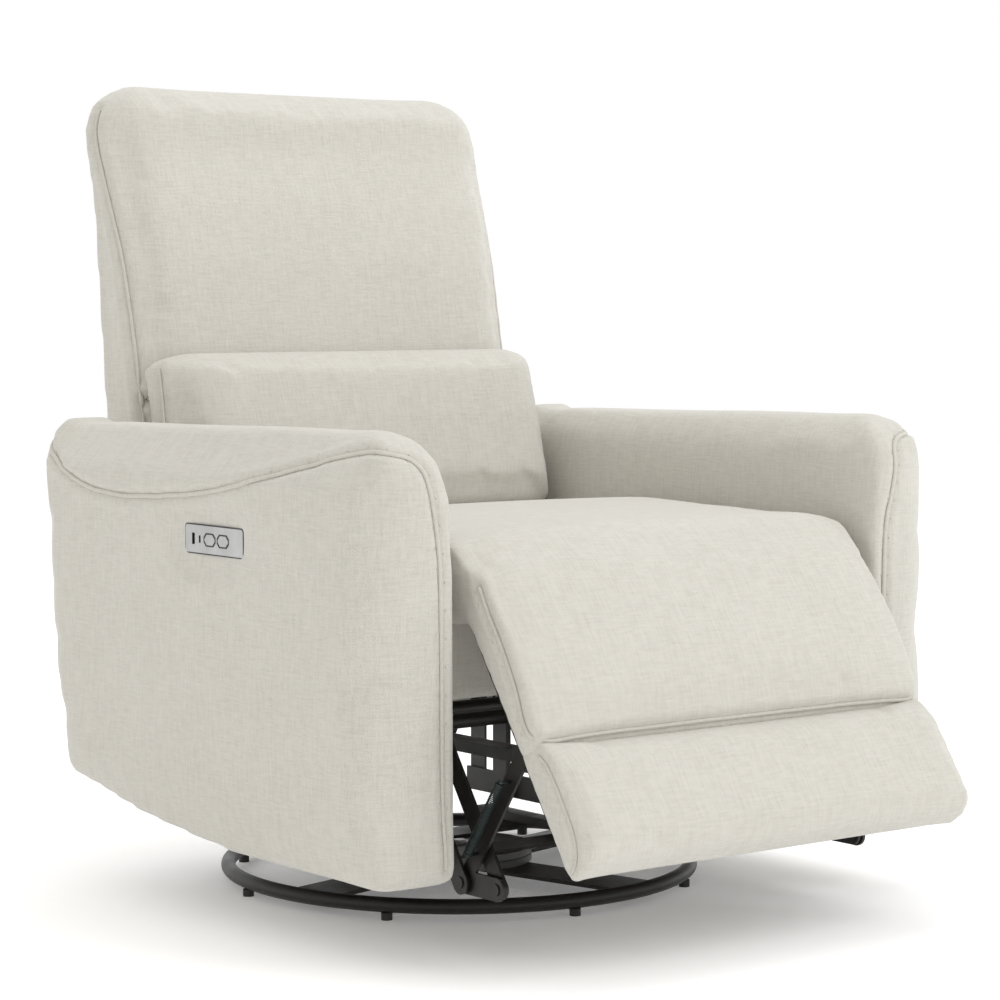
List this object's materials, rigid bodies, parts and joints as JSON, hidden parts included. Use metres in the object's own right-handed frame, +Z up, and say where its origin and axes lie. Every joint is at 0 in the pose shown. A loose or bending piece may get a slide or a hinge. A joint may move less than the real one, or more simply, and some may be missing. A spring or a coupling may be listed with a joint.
{
  "type": "power glider recliner chair",
  "caption": "Upholstered swivel glider recliner with powered legrest and backrest, lumbar pillow, arm controls and a round steel base.",
  "frame": {"origin": "on the floor, under the middle of the whole chair as it stands with the legrest part raised", "axes": "+Z up, the chair faces -Y, +X is the sitter's left"},
  "size_m": [0.895, 1.0638, 1.0479],
  "materials": {
    "fabric": "ivory woven linen-look polyester, matt",
    "black_steel": "black powder coat, satin",
    "race_steel": "black zinc",
    "bright_steel": "zinc plated",
    "spring_steel": "oiled spring steel",
    "foot_plastic": "matt black",
    "wood": "unfinished plywood and pine",
    "black_plastic": "matt black moulding",
    "silver_plastic": "satin silver-grey moulding"
  },
  "bodies": {
    "base": {"base_ring": "black_steel", "base_cross": "black_steel", "base_feet": "foot_plastic", "swivel_lower_race": "race_steel", "swivel_balls": "bright_steel", "swivel_bolt": "bright_steel"},
    "turntable": {"swivel_upper_race": "race_steel", "glider_side_rails": "black_steel", "glider_cross_bars": "black_steel", "glider_uprights": "black_steel", "hanger_top_pins": "bright_steel"},
    "front_glide_hangers": {"front_hangers": "black_steel"},
    "rear_glide_hangers": {"rear_hangers": "black_steel"},
    "seat": {"chassis_rails": "black_steel", "chassis_risers": "black_steel", "hanger_low_pins": "bright_steel", "front_cross_tube": "black_steel", "rear_cross_tube": "black_steel", "right_mechanism_plate": "black_steel", "left_mechanism_plate": "black_steel", "mechanism_pins": "bright_steel", "legrest_hinge_plates": "black_steel", "seat_side_rails": "wood", "seat_end_rails": "wood", "seat_front_rail": "fabric", "seat_springs": "spring_steel", "seat_cushion": "fabric", "arm_straps": "black_steel", "right_arm": "fabric", "left_arm": "fabric", "right_arm_panel": "wood", "left_arm_panel": "wood", "rear_panel": "fabric", "rear_posts": "fabric", "power_inlet": "black_plastic", "control_box": "black_plastic", "control_bezel": "black_plastic", "control_plate": "silver_plastic", "usb_ports": "black_plastic", "button_rings": "black_plastic", "actuator_housing": "black_plastic", "actuator_motor": "black_plastic", "actuator_rail": "black_steel"},
    "open_switch": {"button_open": "silver_plastic"},
    "close_switch": {"button_close": "silver_plastic"},
    "carriage": {"drive_carriage": "black_plastic"},
    "lower_link_pair": {"lower_links": "black_steel", "torque_tube": "black_steel"},
    "front_link_pair": {"front_links": "black_steel"},
    "coupler_pair": {"couplers": "black_steel", "legrest_springs": "spring_steel"},
    "legrest": {"legrest_brackets": "black_steel", "legrest_board": "wood", "legrest_upper_pad": "fabric", "legrest_lower_pad": "fabric"},
    "backrest": {"back_brackets": "black_steel", "back_frame": "wood", "back_shell": "fabric", "back_cushion": "fabric", "lumbar_pillow": "fabric"}
  },
  "joints": [
    {"name": "swivel", "type": "hinge", "parent": "base", "child": "turntable", "pos_m": [0, 0.098, 0], "axis": [0, 0, 1], "continuous": true},
    {"name": "glide", "type": "hinge", "parent": "turntable", "child": "front_glide_hangers", "pos_m": [0, -0.032, 0.208], "axis": [1, 0, 0], "range_deg": [-16, 16]},
    {"name": "rear_hanger_swing", "type": "hinge", "parent": "turntable", "child": "rear_glide_hangers", "pos_m": [0, 0.228, 0.208], "axis": [1, 0, 0], "range_deg": [-16.5, 16.5]},
    {"name": "seat_level", "type": "hinge", "parent": "front_glide_hangers", "child": "seat", "pos_m": [0, -0.032, 0.083], "axis": [1, 0, 0], "range_deg": [-16.5, 16.5]},
    {"name": "legrest_lift", "type": "hinge", "parent": "seat", "child": "legrest", "pos_m": [0, -0.277, 0.43], "axis": [-1, 0, 0], "range_deg": [-34, 52]},
    {"name": "lower_link_turn", "type": "hinge", "parent": "seat", "child": "lower_link_pair", "pos_m": [0, -0.167, 0.267], "axis": [-1, 0, 0], "range_deg": [-34.5, 52.5]},
    {"name": "front_link_turn", "type": "hinge", "parent": "seat", "child": "front_link_pair", "pos_m": [0, -0.227, 0.267], "axis": [-1, 0, 0], "range_deg": [-34.5, 52.5]},
    {"name": "coupler_turn", "type": "hinge", "parent": "lower_link_pair", "child": "coupler_pair", "pos_m": [0, -0.29002, 0.08461], "axis": [-1, 0, 0], "range_deg": [-52.5, 34.5]},
    {"name": "carriage_travel", "type": "slide", "parent": "seat", "child": "carriage", "axis": [0, -1, 0], "range_m": [-0.0365, 0.0555]},
    {"name": "back_recline", "type": "hinge", "parent": "seat", "child": "backrest", "pos_m": [0, 0.353, 0.335], "axis": [-1, 0, 0], "range_deg": [0, 50]},
    {"name": "button_open_press", "type": "slide", "parent": "seat", "child": "open_switch", "axis": [1, 0, 0], "range_m": [0, 0.0015], "stiffness_N_per_m": 600, "springref_m": -0.001},
    {"name": "button_close_press", "type": "slide", "parent": "seat", "child": "close_switch", "axis": [1, 0, 0], "range_m": [0, 0.0015], "stiffness_N_per_m": 600, "springref_m": -0.001}
  ],
  "couplings": [
    {"joint": "rear_hanger_swing", "follows": "glide", "ratio": 1},
    {"joint": "seat_level", "follows": "glide", "ratio": -1},
    {"joint": "lower_link_turn", "follows": "legrest_lift", "ratio": 1},
    {"joint": "front_link_turn", "follows": "legrest_lift", "ratio": 1},
    {"joint": "coupler_turn", "follows": "legrest_lift", "ratio": -1},
    {"joint": "carriage_travel", "follows": "legrest_lift", "m_per_rad": 0.0605}
  ]
}
